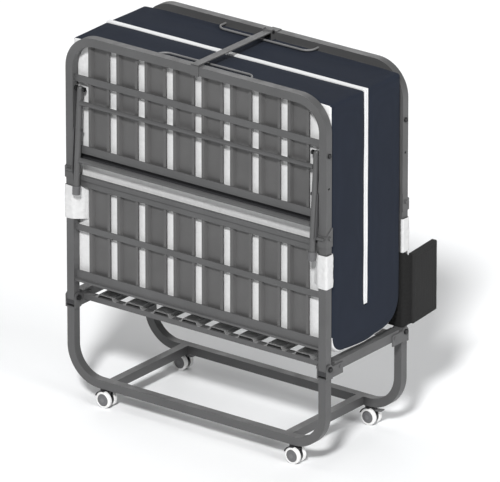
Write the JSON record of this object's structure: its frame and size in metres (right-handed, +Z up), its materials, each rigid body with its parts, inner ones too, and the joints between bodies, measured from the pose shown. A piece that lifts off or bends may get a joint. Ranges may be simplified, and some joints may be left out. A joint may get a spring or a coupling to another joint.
{
  "type": "folding rollaway cot",
  "caption": "Wheeled folding cot, stored upright: tube floor hoops, two hinged slatted sections with swing-out legs, a folded navy mattress and a top latch.",
  "frame": {"origin": "middle of the outer box, on the floor", "axes": "+X across the bed towards the side with the pocket, +Y from the front section to the rear one, +Z up"},
  "size_m": [0.922, 0.5367, 1.1018],
  "materials": {
    "frame_paint": "satin grey powder coat",
    "slat_paint": "satin grey powder coat on pressed sheet",
    "zinc": "zinc plated",
    "black_plastic": "matte moulded",
    "foot_plastic": "matte moulded",
    "wheel_plastic": "satin moulded, white tread and grey hub",
    "navy_fabric": "fine woven ticking",
    "white_fabric": "plain woven band",
    "pocket_fabric": "matte woven polyester"
  },
  "bodies": {
    "base": {"front_hoop": "frame_paint", "rear_hoop": "frame_paint", "floor_rails": "frame_paint", "centre_side_rails": "frame_paint", "centre_cross_rails": "frame_paint", "centre_slats": "slat_paint", "hinge_brackets": "frame_paint", "pivot_bolts": "zinc", "mattress_fold": "navy_fabric"},
    "front_section": {"front_frame": "frame_paint", "front_end_caps": "black_plastic", "front_upper_bars": "frame_paint", "front_lower_rails": "frame_paint", "front_upper_slats": "slat_paint", "front_lower_slats": "slat_paint", "front_retainer": "frame_paint", "front_straps": "white_fabric", "front_mattress": "navy_fabric", "front_leg_bolts": "zinc", "latch_catch": "frame_paint"},
    "rear_section": {"rear_frame": "frame_paint", "rear_end_caps": "black_plastic", "rear_upper_bars": "frame_paint", "rear_lower_rails": "frame_paint", "rear_upper_slats": "slat_paint", "rear_lower_slats": "slat_paint", "rear_retainer": "frame_paint", "rear_straps": "white_fabric", "rear_mattress": "navy_fabric", "rear_leg_bolts": "zinc", "latch_bracket": "frame_paint", "latch_pin": "zinc", "side_pocket": "pocket_fabric"},
    "latch": {"latch_bar": "frame_paint"},
    "front_legs": {"front_leg_frame": "frame_paint", "front_leg_feet": "foot_plastic"},
    "front_links": {"front_leg_links": "zinc"},
    "front_slides": {"front_leg_slides": "frame_paint"},
    "rear_legs": {"rear_leg_frame": "frame_paint", "rear_leg_feet": "foot_plastic"},
    "rear_links": {"rear_leg_links": "zinc"},
    "rear_slides": {"rear_leg_slides": "frame_paint"},
    "front_left_swivel": {"front_left_caster": "black_plastic", "front_left_axle": "zinc"},
    "front_left_outer_wheel": {"front_left_wheel_outer": "wheel_plastic"},
    "front_left_inner_wheel": {"front_left_wheel_inner": "wheel_plastic"},
    "front_right_swivel": {"front_right_caster": "black_plastic", "front_right_axle": "zinc"},
    "front_right_outer_wheel": {"front_right_wheel_outer": "wheel_plastic"},
    "front_right_inner_wheel": {"front_right_wheel_inner": "wheel_plastic"},
    "rear_left_swivel": {"rear_left_caster": "black_plastic", "rear_left_axle": "zinc"},
    "rear_left_outer_wheel": {"rear_left_wheel_outer": "wheel_plastic"},
    "rear_left_inner_wheel": {"rear_left_wheel_inner": "wheel_plastic"},
    "rear_left_brake_lever": {"rear_left_brake": "black_plastic"},
    "rear_right_swivel": {"rear_right_caster": "black_plastic", "rear_right_axle": "zinc"},
    "rear_right_outer_wheel": {"rear_right_wheel_outer": "wheel_plastic"},
    "rear_right_inner_wheel": {"rear_right_wheel_inner": "wheel_plastic"},
    "rear_right_brake_lever": {"rear_right_brake": "black_plastic"}
  },
  "joints": [
    {"name": "front_fold", "type": "hinge", "parent": "base", "child": "front_section", "pos_m": [0, -0.23546, 0.304], "axis": [1, 0, 0], "range_deg": [0, 90]},
    {"name": "rear_fold", "type": "hinge", "parent": "base", "child": "rear_section", "pos_m": [0, 0.11354, 0.304], "axis": [-1, 0, 0], "range_deg": [0, 90]},
    {"name": "latch_swing", "type": "hinge", "parent": "rear_section", "child": "latch", "pos_m": [0, 0.08704, 1.0938], "axis": [-1, 0, 0], "range_deg": [0, 110]},
    {"name": "front_leg_swing", "type": "hinge", "parent": "front_section", "child": "front_legs", "pos_m": [0, -0.23546, 0.928], "axis": [-1, 0, 0], "range_deg": [0, 75.21]},
    {"name": "front_link_pivot", "type": "hinge", "parent": "front_legs", "child": "front_links", "pos_m": [0, -0.24369, 0.81029], "axis": [-1, 0, 0], "range_deg": [-132.8, 0]},
    {"name": "front_slide_travel", "type": "slide", "parent": "front_section", "child": "front_slides", "axis": [0, 0, 1], "range_m": [0, 0.1441]},
    {"name": "rear_leg_swing", "type": "hinge", "parent": "rear_section", "child": "rear_legs", "pos_m": [0, 0.11354, 0.928], "axis": [1, 0, 0], "range_deg": [0, 75.21]},
    {"name": "rear_link_pivot", "type": "hinge", "parent": "rear_legs", "child": "rear_links", "pos_m": [0, 0.12177, 0.81029], "axis": [1, 0, 0], "range_deg": [-132.8, 0]},
    {"name": "rear_slide_travel", "type": "slide", "parent": "rear_section", "child": "rear_slides", "axis": [0, 0, 1], "range_m": [0, 0.1441]},
    {"name": "front_left_swivel_turn", "type": "hinge", "parent": "base", "child": "front_left_swivel", "pos_m": [-0.33, -0.23546, 0.05], "axis": [0, 0, 1], "continuous": true},
    {"name": "front_left_outer_spin", "type": "hinge", "parent": "front_left_swivel", "child": "front_left_outer_wheel", "pos_m": [-0.322, -0.23546, 0.0245], "axis": [0, 1, 0], "continuous": true},
    {"name": "front_left_inner_spin", "type": "hinge", "parent": "front_left_swivel", "child": "front_left_inner_wheel", "pos_m": [-0.322, -0.23546, 0.0245], "axis": [0, 1, 0], "continuous": true},
    {"name": "front_right_swivel_turn", "type": "hinge", "parent": "base", "child": "front_right_swivel", "pos_m": [0.33, -0.23546, 0.05], "axis": [0, 0, 1], "continuous": true},
    {"name": "front_right_outer_spin", "type": "hinge", "parent": "front_right_swivel", "child": "front_right_outer_wheel", "pos_m": [0.338, -0.23546, 0.0245], "axis": [0, 1, 0], "continuous": true},
    {"name": "front_right_inner_spin", "type": "hinge", "parent": "front_right_swivel", "child": "front_right_inner_wheel", "pos_m": [0.338, -0.23546, 0.0245], "axis": [0, 1, 0], "continuous": true},
    {"name": "rear_left_swivel_turn", "type": "hinge", "parent": "base", "child": "rear_left_swivel", "pos_m": [-0.33, 0.11354, 0.05], "axis": [0, 0, 1], "continuous": true},
    {"name": "rear_left_outer_spin", "type": "hinge", "parent": "rear_left_swivel", "child": "rear_left_outer_wheel", "pos_m": [-0.322, 0.11354, 0.0245], "axis": [0, 1, 0], "continuous": true},
    {"name": "rear_left_inner_spin", "type": "hinge", "parent": "rear_left_swivel", "child": "rear_left_inner_wheel", "pos_m": [-0.322, 0.11354, 0.0245], "axis": [0, 1, 0], "continuous": true},
    {"name": "rear_left_brake_press", "type": "hinge", "parent": "rear_left_swivel", "child": "rear_left_brake_lever", "pos_m": [-0.308, 0.11354, 0.0445], "axis": [0, 1, 0], "range_deg": [0, 15]},
    {"name": "rear_right_swivel_turn", "type": "hinge", "parent": "base", "child": "rear_right_swivel", "pos_m": [0.33, 0.11354, 0.05], "axis": [0, 0, 1], "continuous": true},
    {"name": "rear_right_outer_spin", "type": "hinge", "parent": "rear_right_swivel", "child": "rear_right_outer_wheel", "pos_m": [0.338, 0.11354, 0.0245], "axis": [0, 1, 0], "continuous": true},
    {"name": "rear_right_inner_spin", "type": "hinge", "parent": "rear_right_swivel", "child": "rear_right_inner_wheel", "pos_m": [0.338, 0.11354, 0.0245], "axis": [0, 1, 0], "continuous": true},
    {"name": "rear_right_brake_press", "type": "hinge", "parent": "rear_right_swivel", "child": "rear_right_brake_lever", "pos_m": [0.352, 0.11354, 0.0445], "axis": [0, 1, 0], "range_deg": [0, 15]}
  ],
  "couplings": [
    {"joint": "front_link_pivot", "follows": "front_leg_swing", "ratio": -1.7648},
    {"joint": "front_slide_travel", "follows": "front_leg_swing", "m_per_rad": 0.1097},
    {"joint": "rear_link_pivot", "follows": "rear_leg_swing", "ratio": -1.7648},
    {"joint": "rear_slide_travel", "follows": "rear_leg_swing", "m_per_rad": 0.1097}
  ]
}
